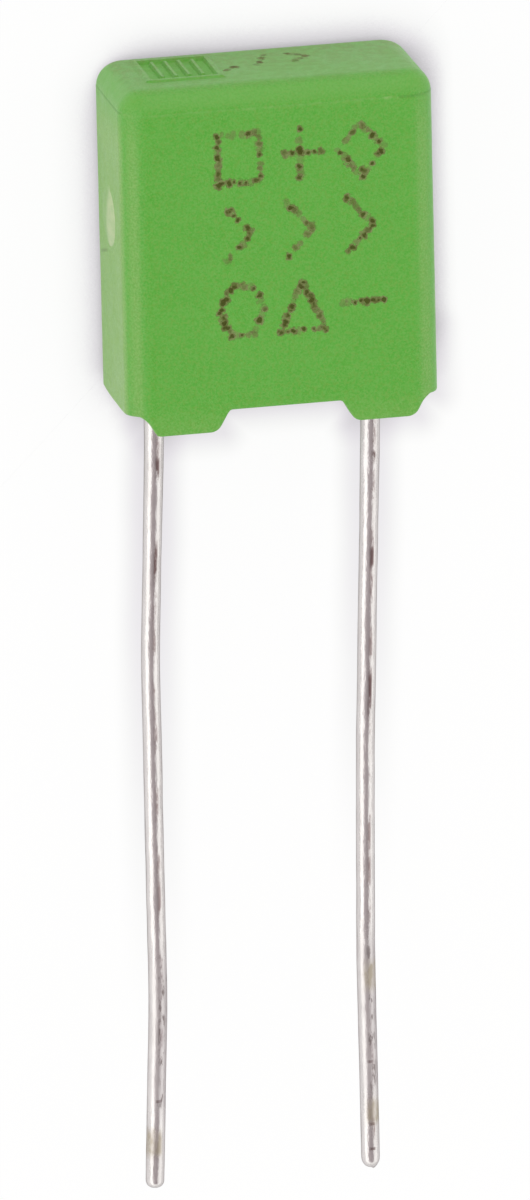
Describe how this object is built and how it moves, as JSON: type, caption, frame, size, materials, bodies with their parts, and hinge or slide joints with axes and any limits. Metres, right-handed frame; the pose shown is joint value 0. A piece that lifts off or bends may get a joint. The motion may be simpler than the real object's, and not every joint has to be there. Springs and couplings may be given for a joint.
{
  "type": "film capacitor",
  "caption": "Box film capacitor: leaf-green moulded case with rounded edges and small feet, resin sealed below, with long slightly bent tinned leads for a circuit board.",
  "frame": {"origin": "middle of the case's broad back face, on which the part lies", "axes": "+X along the case from the left lead to the right lead, +Y from the leads towards the closed top of the case, +Z out of the broad front face"},
  "size_m": [0.0073, 0.0263, 0.0035],
  "materials": {
    "green_plastic": "satin moulded plastic",
    "potting_resin": "cast resin, dull gloss",
    "metallised_film": "wound metallised film",
    "sprayed_zinc": "rough sprayed metal",
    "tinned_wire": "bright tin with dull smears",
    "print_ink": "dotted brown ink"
  },
  "bodies": {
    "root": {"case": "green_plastic", "resin_fill": "potting_resin", "film_winding": "metallised_film", "end_spray_left": "sprayed_zinc", "end_spray_right": "sprayed_zinc", "lead_left": "tinned_wire", "lead_right": "tinned_wire"}
  },
  "joints": []
}
